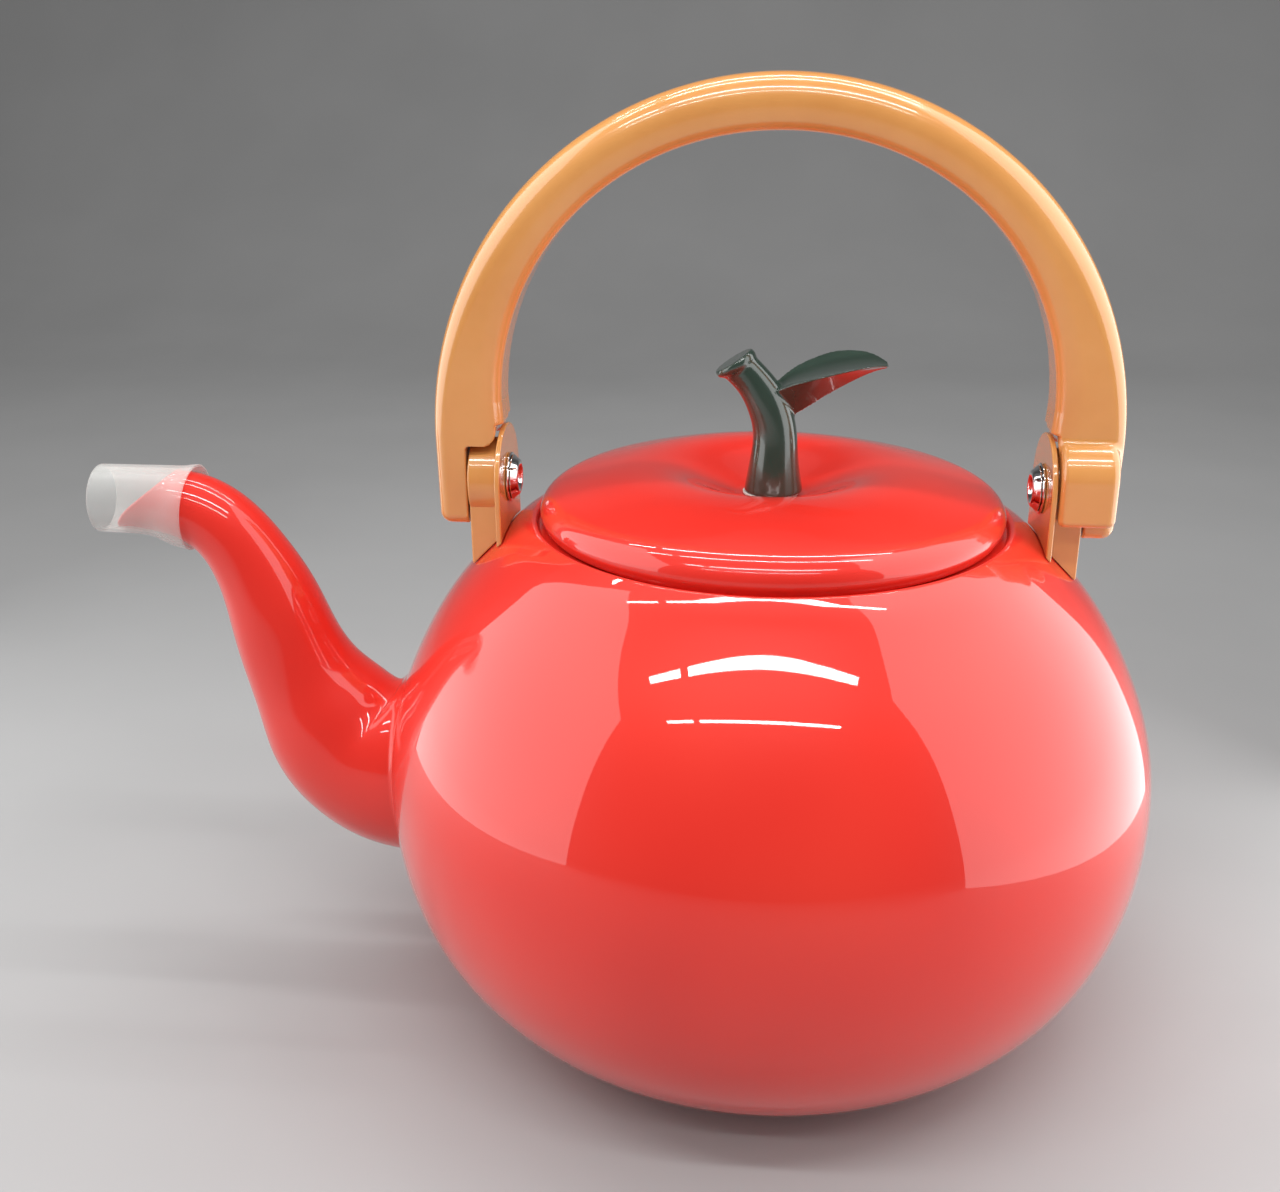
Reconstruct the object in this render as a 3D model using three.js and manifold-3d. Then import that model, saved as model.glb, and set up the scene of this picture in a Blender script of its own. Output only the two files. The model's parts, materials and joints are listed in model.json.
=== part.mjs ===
// Enamelled stovetop kettle in the shape of an apple, with a folding bail handle, a lift-off lid and a gooseneck spout.
// Millimetres, +Z up. The origin is on the body's axis in the plane of its base; the spout points to -X,
// and the handle folds back towards +Y.
import * as THREE from "three";
import { mergeVertices } from "three/addons/utils/BufferGeometryUtils.js";
import Module from "manifold-3d";

const wasm = await Module();
wasm.setup();

// ---------------------------------------------------------------- driving dimensions

const BODY_RADIUS = 97.4; // widest half-width of the body
const BODY_RADIUS_HEIGHT = 66; // height of that widest ring
const BASE_RADIUS = 50; // flat disc that stands on the stove
const SHEET = 1.5; // enamelled steel, both coats included
const MOUTH_RADIUS = 50;
const SEAT_RADIUS = 58.4; // outside of the recess that the lid sits in
const SEAT_HEIGHT = 131.4;
const COLLAR_DEPTH = 5; // how far the edge of the mouth is turned down

const LID_RADIUS = 56.9;
const LID_CROWN_HEIGHT = 146.3;
const LID_DIMPLE_HEIGHT = 139.2;
const SKIRT_RADIUS = 48.6;
const SKIRT_BOTTOM = 122;

const PIVOT_HEIGHT = 141.9; // the handle turns about an axis along X at this height
const ARCH_CENTRE_HEIGHT = 154;
const ARCH_OUTER_RADIUS = 83;
const ARCH_TOP_THICKNESS = 12.5;
const HANDLE_DEPTH = 16; // front to back
const HANDLE_ROUNDING = 5.2;
const HOLE = { halfWidth: 65.6, centreHeight: 162, squareness: 2.03 }; // the arch's inner edge over the legs
const LEG_INNER = 65.2;
const LEG_BOTTOM = 131.3;
const LEG_OUTER_AT_FOOT = 82.7;
const LEG_CORNER = 6.4; // rounding of the leg's outer bottom corner
const LEG_PLATE_INNER = 74.9; // inner face of the leg's outer plate, beside the lug cover

// Pieces of the right pivot, as distances along X from the middle of the kettle.
const FLANGE = { inner: 65.3, outer: 66.6, radius: 13.6 };
const BARREL = { outer: 74, radius: 9.9 };
const TONGUE_HALF_WIDTH = 8.2;
const EAR = { inner: 68.9, outer: 70.9, radius: 6.2 };
const BUSH = { inner: 65.5, outer: 73.9, radius: 3.8, bore: 2.2 };
const SCREW = { tip: 80, shank: 2, headBase: 64.4, headTop: 62.5, headBaseRadius: 5.7, headTopRadius: 4.7 };
const WASHER = { inner: 64.5, outer: 65.2, radius: 6.2 };
const INSERT = { inner: 75.5, outer: 80.4, radius: 3.6, bore: 2.1 };
const GAP = 0.3; // between neighbouring pieces
const TIGHT = 0.1; // clearance round a pin, bush or insert

// The notch in each leg turns round the lug cover.
const NOTCH_INNER = 67;
const NOTCH_RADIUS = 12.2;
const LIP_HEIGHT = 14.2; // bottom of the thin lip above the flange, over the pivot
const BOSS = { outer: 80.6, wallInside: 10.3, radius: 14.4, bottom: -5.5 }; // stop in front of the right pivot

// ---------------------------------------------------------------- materials

function paint(color, roughness, metalness) {
  return new THREE.MeshStandardMaterial({ color, roughness, metalness });
}
const redEnamel = paint(0xe8382a, 0.12, 0);
const resin = paint(0xde9854, 0.25, 0);
const darkGreen = paint(0x2d3c32, 0.15, 0);
const chrome = paint(0xd8d8da, 0.1, 1);
const steel = paint(0xa9abad, 0.4, 1);
const brass = paint(0xc9a24c, 0.35, 1);
const silicone = paint(0xd8d4cc, 0.6, 0);
const clearPlastic = new THREE.MeshStandardMaterial({
  color: 0xe6e4dc,
  roughness: 0.3,
  metalness: 0,
  transparent: true,
  opacity: 0.4,
});

// ---------------------------------------------------------------- helpers

const v2 = (x, y) => new THREE.Vector2(x, y);
const v3 = (x, y, z) => new THREE.Vector3(x, y, z);

// A closed geometry as a solid. Triangles that collapse where a profile meets the axis are dropped.
function solid(geometry) {
  const bare = new THREE.BufferGeometry();
  bare.setAttribute("position", geometry.getAttribute("position").clone());
  if (geometry.index) bare.setIndex(geometry.index.clone());
  const merged = mergeVertices(bare, 1e-4);
  const triangles = [];
  const index = merged.index.array;
  for (let i = 0; i < index.length; i += 3) {
    const [a, b, c] = [index[i], index[i + 1], index[i + 2]];
    if (a !== b && b !== c && c !== a) triangles.push(a, b, c);
  }
  const make = (triVerts) =>
    new wasm.Manifold(
      new wasm.Mesh({
        numProp: 3,
        vertProperties: new Float32Array(merged.attributes.position.array),
        triVerts: new Uint32Array(triVerts),
      }),
    );
  const made = make(triangles);
  return made.volume() < 0 ? make(triangles.reverse()) : made;
}

function geometryOf(made) {
  const { numProp, vertProperties, triVerts } = made.getMesh();
  const positions = new Float32Array((vertProperties.length / numProp) * 3);
  for (let i = 0; i < positions.length / 3; i++) {
    positions.set(vertProperties.subarray(i * numProp, i * numProp + 3), i * 3);
  }
  const geometry = new THREE.BufferGeometry();
  geometry.setAttribute("position", new THREE.BufferAttribute(positions, 3));
  geometry.setIndex(new THREE.BufferAttribute(new Uint32Array(triVerts), 1));
  geometry.computeVertexNormals();
  return geometry;
}

// Turned about +Z from [radius, height] points.
function turned(points, segments) {
  return solid(new THREE.LatheGeometry(points, segments).rotateX(Math.PI / 2));
}

// A round bar along X between two distances, at the height of the pivot; it may narrow from one to the other.
function barAlongX(x0, x1, radius0, radius1 = radius0) {
  const [radiusAtLow, radiusAtHigh] = x1 > x0 ? [radius0, radius1] : [radius1, radius0];
  const bar = new THREE.CylinderGeometry(radiusAtHigh, radiusAtLow, Math.abs(x1 - x0), 20);
  bar.rotateZ(-Math.PI / 2);
  bar.translate((x0 + x1) / 2, 0, PIVOT_HEIGHT);
  return solid(bar);
}

function block(x0, x1, y0, y1, z0, z1) {
  const box = new THREE.BoxGeometry(Math.abs(x1 - x0), y1 - y0, z1 - z0);
  box.translate((x0 + x1) / 2, (y0 + y1) / 2, (z0 + z1) / 2);
  return solid(box);
}

// A flat outline in Y and Z, as a plate between two distances along X.
function plateAlongX(outline, x0, x1) {
  const plate = new THREE.ExtrudeGeometry(outline, { depth: x1 - x0, bevelEnabled: false, curveSegments: 12 });
  plate.applyMatrix4(new THREE.Matrix4().makeBasis(v3(0, 1, 0), v3(0, 0, 1), v3(1, 0, 0)));
  plate.translate(x0, 0, 0);
  return solid(plate);
}

// The curve through some points, as evenly spaced points.
function through(points, count) {
  return new THREE.SplineCurve(points).getSpacedPoints(count);
}

// A profile moved sideways; a positive distance moves it to the right of its direction.
function offset(points, distance) {
  return points.map((point, i) => {
    const before = points[Math.max(i - 1, 0)];
    const after = points[Math.min(i + 1, points.length - 1)];
    const along = after.clone().sub(before).normalize();
    return v2(point.x + along.y * distance, point.y - along.x * distance);
  });
}

// A closed skin over rings of points, each ring with the same number of points.
function loft(rings) {
  const sides = rings[0].length;
  const positions = rings.flatMap((ring) => ring.flatMap((p) => [p.x, p.y, p.z]));
  const triangles = [];
  for (let r = 0; r < rings.length - 1; r++) {
    for (let i = 0; i < sides; i++) {
      const a = r * sides + i;
      const b = r * sides + ((i + 1) % sides);
      triangles.push(a, b, b + sides, a, b + sides, a + sides);
    }
  }
  const centre = (ring) => ring.reduce((sum, p) => sum.add(p), v3(0, 0, 0)).divideScalar(sides);
  const first = centre(rings[0]);
  const last = centre(rings[rings.length - 1]);
  positions.push(first.x, first.y, first.z, last.x, last.y, last.z);
  const firstIndex = rings.length * sides;
  const lastRing = (rings.length - 1) * sides;
  for (let i = 0; i < sides; i++) {
    const next = (i + 1) % sides;
    triangles.push(firstIndex, next, i, firstIndex + 1, lastRing + i, lastRing + next);
  }
  const geometry = new THREE.BufferGeometry();
  geometry.setAttribute("position", new THREE.Float32BufferAttribute(positions, 3));
  geometry.setIndex(triangles);
  return solid(geometry);
}

// A round tube in the XZ plane. Each station is [x, z, radius in the plane, radius across it].
function tubeThrough(stations, steps, sides, grow = 0) {
  const path = new THREE.CatmullRomCurve3(stations.map(([x, z]) => v3(x, 0, z)), false, "centripetal");
  const radii = new THREE.CatmullRomCurve3(
    stations.map(([, , inPlane, across]) => v3(inPlane, across, 0)),
    false,
    "centripetal",
  );
  const rings = [];
  for (let s = 0; s <= steps; s++) {
    const t = s / steps;
    const centre = path.getPoint(t);
    const along = path.getTangent(t);
    const up = v3(-along.z, 0, along.x);
    const radius = radii.getPoint(t);
    const ring = [];
    for (let i = 0; i < sides; i++) {
      const angle = (2 * Math.PI * i) / sides;
      const point = centre.clone().addScaledVector(up, Math.cos(angle) * (radius.x + grow));
      point.y += Math.sin(angle) * (radius.y + grow);
      ring.push(point);
    }
    rings.push(ring);
  }
  return loft(rings);
}

const group = new THREE.Group();

function addNode(parent, name, made, material) {
  const mesh = new THREE.Mesh(geometryOf(made), material);
  mesh.name = name;
  parent.add(mesh);
}

// ---------------------------------------------------------------- body

const BODY_STEPS = 16; // facets from the base to the lid
const BODY_SIDES = 44; // facets round the axis

// Outside of the body from the edge of the flat base to the shoulder beside the lid.
const bodyOutline = through(
  [
    v2(BASE_RADIUS, 0),
    v2(56.5, 2.4),
    v2(63.5, 6.4),
    v2(77.7, 16.2),
    v2(89.8, 31.7),
    v2(96, 50.3),
    v2(BODY_RADIUS, BODY_RADIUS_HEIGHT),
    v2(96, 79.6),
    v2(89.6, 98),
    v2(79.8, 114.4),
    v2(67.6, 127.4),
    v2(61.6, 131.6),
    v2(SEAT_RADIUS + 0.6, 132.8),
  ],
  BODY_STEPS,
);

const bodyInside = offset(bodyOutline, -SHEET)
  .filter((point) => point.y > SHEET + 0.2 && point.y < SEAT_HEIGHT - 2 * SHEET)
  .reverse();

const bodyFilled = (grow) => {
  const outside = offset(bodyOutline, grow).slice(1);
  const top = outside[outside.length - 1];
  return turned([v2(0, -grow), v2(BASE_RADIUS, -grow), ...outside, v2(0, top.y)], BODY_SIDES);
};

function makeBodyShell() {
  const profile = [
    v2(0, 0),
    ...bodyOutline,
    v2(SEAT_RADIUS, 132.4),
    v2(SEAT_RADIUS - 0.4, SEAT_HEIGHT),
    v2(MOUTH_RADIUS + 1.2, SEAT_HEIGHT),
    v2(MOUTH_RADIUS, SEAT_HEIGHT - 1.2),
    v2(MOUTH_RADIUS, SEAT_HEIGHT - COLLAR_DEPTH),
    v2(MOUTH_RADIUS + SHEET, SEAT_HEIGHT - COLLAR_DEPTH),
    v2(MOUTH_RADIUS + SHEET, SEAT_HEIGHT - 2.2),
    v2(SEAT_RADIUS - 0.6, SEAT_HEIGHT - SHEET),
    ...bodyInside,
    v2(BASE_RADIUS - 1, SHEET),
    v2(0, SHEET),
  ];
  let shell = turned(profile, BODY_SIDES);
  for (const hole of strainerHoles()) shell = shell.subtract(hole);
  return shell;
}

// Two rings of small holes round a middle one, in the wall that the spout covers.
function strainerHoles() {
  const centreHeight = 60;
  const holeRadius = 2.6;
  const rings = [
    [0, 1],
    [8, 5],
    [16.5, 9],
  ];
  const holes = [];
  for (const [ringRadius, count] of rings) {
    for (let i = 0; i < count; i++) {
      const angle = (2 * Math.PI * i) / count;
      const hole = new THREE.CylinderGeometry(holeRadius, holeRadius, 24, 8);
      hole.rotateZ(Math.PI / 2);
      hole.translate(-94, ringRadius * Math.sin(angle), centreHeight + ringRadius * Math.cos(angle));
      holes.push(solid(hole));
    }
  }
  return holes;
}

// ---------------------------------------------------------------- spout and its sleeve

const SPOUT_STEPS = 18;
const SPOUT_SIDES = 20;
// Stations of the gooseneck, from inside the body to the lip: x, z, radius up and down, radius across.
const SPOUT = [
  [-80, 59.2, 24.8, 21.5],
  [-92, 60, 24.6, 21.3],
  [-102.6, 62.3, 24.1, 20.6],
  [-111.2, 67, 21.5, 19.2],
  [-117.6, 75.4, 18.7, 17.4],
  [-122.4, 84.4, 15.4, 15],
  [-126.6, 95.2, 13.5, 13.3],
  [-129.9, 106.7, 12.2, 12.1],
  [-134.6, 118, 10.5, 10.4],
  [-141.2, 127.1, 9.5, 9.5],
  [-148.9, 131.8, 9, 9],
  [-158, 133.3, 8, 8],
  [-170, 133.8, 7.6, 7.6],
];
// The lip is cut on a slant between these two points.
const LIP_TOP = { x: -150, z: 142 };
const LIP_TIP = { x: -169, z: 124.8 };

function makeSpout() {
  const outside = tubeThrough(SPOUT, SPOUT_STEPS, SPOUT_SIDES);
  const channel = tubeThrough([[-70, 58.4, 24.8, 21.5], ...SPOUT, [-182, 134.4, 7.4, 7.4]], SPOUT_STEPS, SPOUT_SIDES, -SHEET);
  const lipCut = new THREE.BoxGeometry(80, 60, 60);
  lipCut.translate(0, 0, 30);
  lipCut.rotateY(-Math.atan2(LIP_TOP.z - LIP_TIP.z, LIP_TOP.x - LIP_TIP.x));
  lipCut.translate((LIP_TOP.x + LIP_TIP.x) / 2, 0, (LIP_TOP.z + LIP_TIP.z) / 2);
  return outside.subtract(channel).subtract(bodyFilled(GAP)).subtract(solid(lipCut));
}

// The sleeve narrows from the neck of the spout to its open end.
const SLEEVE = [
  [-148.2, 131.7, 11.2, 11.2],
  [-151.5, 132.1, 10.6, 10.6],
  [-155.5, 132.9, 9.7, 9.7],
  [-160, 133.4, 9.1, 9.1],
  [-172.9, 133.7, 8.8, 8.8],
];
const SLEEVE_WALL = 0.7;
const SLEEVE_STEPS = 6;

function makeSleeve() {
  const bore = [[-142, 131.3, 11.6, 11.6], ...SLEEVE, [-182, 133.7, 8.6, 8.6]];
  const outside = tubeThrough(SLEEVE, SLEEVE_STEPS, SPOUT_SIDES);
  return outside.subtract(tubeThrough(bore, SLEEVE_STEPS + 4, SPOUT_SIDES, -SLEEVE_WALL));
}

// ---------------------------------------------------------------- handle and its pivots

// Right half of the arch's inner edge, from the crown down to the leg: an oval a little squarer than an ellipse.
function archInner() {
  const height = ARCH_CENTRE_HEIGHT + ARCH_OUTER_RADIUS - ARCH_TOP_THICKNESS - HOLE.centreHeight;
  const steps = 11;
  const points = [];
  for (let i = 0; i <= steps; i++) {
    const angle = (Math.PI / 2) * (1 - i / steps);
    points.push(
      v2(
        HOLE.halfWidth * Math.max(Math.cos(angle), 0) ** (2 / HOLE.squareness),
        HOLE.centreHeight + height * Math.max(Math.sin(angle), 0) ** (2 / HOLE.squareness),
      ),
    );
  }
  points[0].x = 0;
  return points;
}

function handleOutline() {
  const right = [];
  const arcSteps = 14;
  for (let i = 0; i <= arcSteps; i++) {
    const angle = (Math.PI / 2) * (1 - i / arcSteps);
    right.push(
      v2(ARCH_OUTER_RADIUS * Math.cos(angle), ARCH_CENTRE_HEIGHT + ARCH_OUTER_RADIUS * Math.sin(angle)),
    );
  }
  const cornerSteps = 4;
  for (let i = 0; i <= cornerSteps; i++) {
    const angle = (-Math.PI / 2) * (i / cornerSteps);
    const centreX = LEG_OUTER_AT_FOOT - LEG_CORNER;
    right.push(
      v2(centreX + LEG_CORNER * Math.cos(angle), LEG_BOTTOM + LEG_CORNER + LEG_CORNER * Math.sin(angle)),
    );
  }
  right.push(v2(LEG_INNER, LEG_BOTTOM));
  right.push(...archInner().reverse());
  const left = right.slice(1, -1).map((point) => v2(-point.x, point.y));
  return new THREE.Shape([...right, ...left.reverse()]);
}

// The boss is a drum wall in front of the right pivot. Its lower end meets the tongue when the handle is upright.
function stopBoss() {
  const outline = new THREE.Shape();
  outline.moveTo(-4, PIVOT_HEIGHT + BOSS.bottom);
  outline.lineTo(-4, PIVOT_HEIGHT + Math.sqrt(BOSS.radius ** 2 - 16));
  const startAngle = Math.PI - Math.acos(4 / BOSS.radius);
  const endAngle = Math.PI + Math.asin(-BOSS.bottom / BOSS.radius);
  outline.absarc(0, PIVOT_HEIGHT, BOSS.radius, startAngle, endAngle, false);
  const clearance = barAlongX(FLANGE.outer, LEG_PLATE_INNER, BOSS.wallInside);
  return plateAlongX(outline, NOTCH_INNER, BOSS.outer).subtract(clearance);
}

function makeHandle() {
  const arch = new THREE.ExtrudeGeometry(handleOutline(), {
    depth: HANDLE_DEPTH - 2 * HANDLE_ROUNDING,
    bevelEnabled: true,
    bevelThickness: HANDLE_ROUNDING,
    bevelSize: HANDLE_ROUNDING,
    bevelOffset: -HANDLE_ROUNDING,
    bevelSegments: 4,
  });
  arch.rotateX(Math.PI / 2);
  arch.translate(0, HANDLE_DEPTH / 2 - HANDLE_ROUNDING, 0);
  let handle = solid(arch);
  const low = LEG_BOTTOM - 5;
  const depth = HANDLE_DEPTH;
  for (const side of [1, -1]) {
    const lipBottom = PIVOT_HEIGHT + LIP_HEIGHT;
    handle = handle
      .subtract(barAlongX(side * NOTCH_INNER, side * LEG_PLATE_INNER, NOTCH_RADIUS))
      .subtract(block(side * NOTCH_INNER, side * LEG_PLATE_INNER, -depth, depth, low, PIVOT_HEIGHT))
      .subtract(block(side * (LEG_INNER - 1), side * NOTCH_INNER, -depth, depth, low, lipBottom));
  }
  handle = handle.add(stopBoss());
  for (const side of [1, -1]) {
    const pocketEnd = INSERT.outer + TIGHT;
    handle = handle.subtract(barAlongX(side * NOTCH_INNER, side * pocketEnd, INSERT.radius + TIGHT));
  }
  return handle;
}

// A steel ear that stands on the shoulder and carries the pivot.
function makeEar() {
  const foot = block(EAR.inner, EAR.outer, -EAR.radius, EAR.radius, 110, PIVOT_HEIGHT);
  return foot
    .add(barAlongX(EAR.inner, EAR.outer, EAR.radius))
    .subtract(barAlongX(EAR.inner - 1, EAR.outer + 1, BUSH.radius + TIGHT))
    .subtract(bodyFilled(GAP));
}

// The resin cover over the ear: a barrel with a tongue down to the body, and a wider flange on its inner side.
function makeLugCover() {
  const tongue = block(FLANGE.outer - 0.5, BARREL.outer, -TONGUE_HALF_WIDTH, TONGUE_HALF_WIDTH, 110, PIVOT_HEIGHT);
  const skirt = block(FLANGE.inner, FLANGE.outer, -FLANGE.radius, FLANGE.radius, 110, PIVOT_HEIGHT);
  const slotHalf = EAR.radius + GAP;
  const slot = block(EAR.inner - GAP, EAR.outer + GAP, -slotHalf, slotHalf, 100, PIVOT_HEIGHT);
  return tongue
    .add(barAlongX(FLANGE.outer - 0.5, BARREL.outer, BARREL.radius))
    .add(skirt)
    .add(barAlongX(FLANGE.inner, FLANGE.outer, FLANGE.radius))
    .subtract(slot)
    .subtract(barAlongX(EAR.inner - GAP, EAR.outer + GAP, slotHalf))
    .subtract(barAlongX(FLANGE.inner - 1, BARREL.outer + 1, BUSH.radius + TIGHT))
    .subtract(bodyFilled(GAP));
}

// A ring along X, such as a washer, bush or threaded insert.
function ringAlongX(inner, outer, radius, bore) {
  return barAlongX(inner, outer, radius).subtract(barAlongX(inner - 1, outer + 1, bore));
}

// The pivot screw: a conical head with a cross recess on the inner side, and a plain shank into the handle's leg.
function makePivotScrew() {
  const recessHalf = 0.5;
  const recessReach = 2.4;
  const recessFloor = SCREW.headTop + 1.4;
  const recess = block(SCREW.headTop - 1, recessFloor, -recessHalf, recessHalf,
    PIVOT_HEIGHT - recessReach, PIVOT_HEIGHT + recessReach).add(
    block(SCREW.headTop - 1, recessFloor, -recessReach, recessReach,
      PIVOT_HEIGHT - recessHalf, PIVOT_HEIGHT + recessHalf),
  );
  return barAlongX(SCREW.headTop, SCREW.headBase, SCREW.headTopRadius, SCREW.headBaseRadius)
    .add(barAlongX(SCREW.headBase - 1, SCREW.tip, SCREW.shank))
    .subtract(recess);
}

// ---------------------------------------------------------------- lid

const LID_STEPS = 13;
const LID_SIDES = 40;
const lidOutline = through(
  [
    v2(LID_RADIUS - 1, 131.8),
    v2(LID_RADIUS, 134.4),
    v2(LID_RADIUS - 1.2, 137.4),
    v2(53, 139.9),
    v2(46, 142.5),
    v2(36, 145.4),
    v2(29, LID_CROWN_HEIGHT),
    v2(22, 145.2),
    v2(15, 141.9),
    v2(8.6, LID_DIMPLE_HEIGHT),
  ],
  LID_STEPS,
);
const LID_HOLE = 2.6;

function makeLidShell() {
  const inside = offset(lidOutline, -SHEET).reverse();
  return turned(
    [
      ...lidOutline,
      v2(LID_HOLE, LID_DIMPLE_HEIGHT),
      v2(LID_HOLE, LID_DIMPLE_HEIGHT - SHEET),
      ...inside,
      lidOutline[0],
    ],
    LID_SIDES,
  );
}

function makeLidSkirt() {
  const wall = 1;
  const top = 139;
  const inner = SKIRT_RADIUS - wall;
  return turned(
    [
      v2(SKIRT_RADIUS, SKIRT_BOTTOM + 1),
      v2(SKIRT_RADIUS, top - wall),
      v2(SKIRT_RADIUS + 2.4, top - wall),
      v2(SKIRT_RADIUS + 2.4, top - 0.2),
      v2(inner, top),
      v2(inner, SKIRT_BOTTOM),
      v2(SKIRT_RADIUS - 0.3, SKIRT_BOTTOM),
      v2(SKIRT_RADIUS, SKIRT_BOTTOM + 1),
    ],
    LID_SIDES,
  );
}

const GASKET = { bottom: LID_DIMPLE_HEIGHT + 0.1, top: LID_DIMPLE_HEIGHT + 0.8, radius: 6.9 };
const KNOB_WASHER = { bottom: LID_DIMPLE_HEIGHT - SHEET - 1, top: LID_DIMPLE_HEIGHT - SHEET - 0.1, radius: 7.5 };
const KNOB_BOTTOM = GASKET.top + 0.1;
const KNOB_SCREW = { shank: 1.9, top: 150, headRadius: 4.2, headTop: KNOB_WASHER.bottom - 0.1, headDepth: 2.4 };

function ringAboutZ(bottom, top, radius, bore) {
  const profile = [v2(bore, bottom), v2(radius, bottom), v2(radius, top), v2(bore, top), v2(bore, bottom)];
  return turned(profile, 24);
}

// A stem that leans and ends in a flat cut, with one boat-shaped leaf growing out of its side.
function makeKnob() {
  const stem = tubeThrough(
    [
      [0.6, KNOB_BOTTOM, 7.1, 7.1],
      [0.6, 147, 6, 6],
      [0.5, 155, 5.3, 5.2],
      [-1.6, 162, 5, 5],
      [-5.2, 167.4, 4.45, 4.45],
      [-9.2, 171.3, 4.6, 4.6],
      [-10.4, 172.6, 5.1, 5.1],
    ],
    12,
    18,
  );
  const hole = ringHole(KNOB_SCREW.shank + TIGHT, KNOB_BOTTOM - 1, KNOB_SCREW.top + 1);
  return stem.add(makeLeaf()).subtract(hole);
}

// Leaf stations: x, height of the rim, height of the keel, half-width.
const LEAF = [
  [0.5, 166, 157.2, 3.2],
  [4.5, 168.5, 158.6, 5.6],
  [9.5, 170.5, 161.8, 7.4],
  [14.5, 172, 165, 7.9],
  [19.5, 172.7, 167.8, 6.8],
  [23.8, 172.6, 169.8, 4.6],
  [27, 171.7, 170.7, 1.6],
];

function makeLeaf() {
  const tilt = 0.16; // the far rim stands higher than the near one
  return loft(
    LEAF.map(([x, rim, keel, half]) =>
      [
        [1, rim],
        [0.5, rim - 0.5],
        [0, rim - 0.8],
        [-0.5, rim - 0.5],
        [-1, rim],
        [-0.9, rim - 0.9],
        [-0.12, keel],
        [0.12, keel],
        [0.9, rim - 0.9],
      ].map(([across, z]) => v3(x, across * half, z + (z > keel ? across * half * tilt : 0))),
    ),
  );
}

function ringHole(radius, bottom, top) {
  return turned([v2(0, bottom), v2(radius, bottom), v2(radius, top), v2(0, top)], 20);
}

function makeKnobScrew() {
  const { shank, top, headRadius, headTop, headDepth } = KNOB_SCREW;
  const head = headTop - headDepth;
  const slot = block(-headRadius, headRadius, -0.5, 0.5, head - 1, head + 0.9);
  return turned(
    [
      v2(0, head),
      v2(2.4, head + 0.2),
      v2(3.8, head + 1),
      v2(headRadius, headTop),
      v2(shank, headTop),
      v2(shank, top),
      v2(0, top),
    ],
    24,
  ).subtract(slot);
}

// ---------------------------------------------------------------- assembly

const kettle = new THREE.Group();
addNode(kettle, "body_shell", makeBodyShell(), redEnamel);
addNode(kettle, "spout", makeSpout(), redEnamel);

const sleeve = new THREE.Group();
addNode(sleeve, "spout_sleeve", makeSleeve(), clearPlastic);

const bail = new THREE.Group();
addNode(bail, "handle", makeHandle(), resin);

const ear = makeEar();
const cover = makeLugCover();
const bush = ringAlongX(BUSH.inner, BUSH.outer, BUSH.radius, BUSH.bore);
const insert = ringAlongX(INSERT.inner, INSERT.outer, INSERT.radius, INSERT.bore);
const washer = ringAlongX(WASHER.inner, WASHER.outer, WASHER.radius, BUSH.bore);
const screw = makePivotScrew();

// The pivot pieces are the same on both sides, so the left ones are the right ones turned half round.
for (const [side, turn] of [["right", 0], ["left", Math.PI]]) {
  const fixed = new THREE.Group();
  addNode(fixed, `${side}_lug`, ear, steel);
  addNode(fixed, `${side}_lug_cover`, cover, resin);
  addNode(fixed, `${side}_pivot_bush`, bush, steel);
  fixed.rotation.z = turn;
  kettle.add(fixed);
  const swinging = new THREE.Group();
  addNode(swinging, `${side}_pivot_screw`, screw, chrome);
  addNode(swinging, `${side}_pivot_washer`, washer, chrome);
  addNode(swinging, `${side}_handle_insert`, insert, brass);
  swinging.rotation.z = turn;
  bail.add(swinging);
}

const lid = new THREE.Group();
addNode(lid, "lid_shell", makeLidShell(), redEnamel);
addNode(lid, "lid_skirt", makeLidSkirt(), redEnamel);
addNode(lid, "lid_knob", makeKnob(), darkGreen);
addNode(lid, "knob_gasket", ringAboutZ(GASKET.bottom, GASKET.top, GASKET.radius, LID_HOLE), silicone);
addNode(lid, "knob_washer", ringAboutZ(KNOB_WASHER.bottom, KNOB_WASHER.top, KNOB_WASHER.radius, 2.2), steel);
addNode(lid, "knob_screw", makeKnobScrew(), steel);

group.add(kettle, sleeve, bail, lid);

export default group;
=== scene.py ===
import json
import math

import bpy
import numpy as np
from mathutils import Matrix, Vector


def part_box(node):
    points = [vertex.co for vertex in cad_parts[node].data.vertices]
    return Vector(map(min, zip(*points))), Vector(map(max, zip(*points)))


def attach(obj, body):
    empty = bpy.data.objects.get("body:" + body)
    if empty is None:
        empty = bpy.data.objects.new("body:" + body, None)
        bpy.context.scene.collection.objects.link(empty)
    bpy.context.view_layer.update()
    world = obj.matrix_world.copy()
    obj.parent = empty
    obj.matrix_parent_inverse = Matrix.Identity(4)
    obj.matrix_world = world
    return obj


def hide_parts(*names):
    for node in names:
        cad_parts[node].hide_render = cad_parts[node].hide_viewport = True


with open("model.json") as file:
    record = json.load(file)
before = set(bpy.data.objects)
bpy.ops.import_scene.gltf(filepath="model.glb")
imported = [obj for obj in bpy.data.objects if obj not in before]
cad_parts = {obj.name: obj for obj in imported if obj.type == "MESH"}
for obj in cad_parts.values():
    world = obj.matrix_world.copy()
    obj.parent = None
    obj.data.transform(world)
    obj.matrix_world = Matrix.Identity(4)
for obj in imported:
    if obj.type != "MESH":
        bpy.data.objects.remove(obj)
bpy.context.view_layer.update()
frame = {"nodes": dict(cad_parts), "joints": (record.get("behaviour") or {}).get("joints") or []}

# An apple-shaped enamelled kettle: turned and lofted enamel, moulded resin, a clear tip sleeve
# and chrome screws.
# Lengths are millimetres in this script and metres in the meshes. +Z is up, -X is towards the spout.
MM = 0.001


# ---------------------------------------------------------------- sizes taken from the frame

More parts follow.
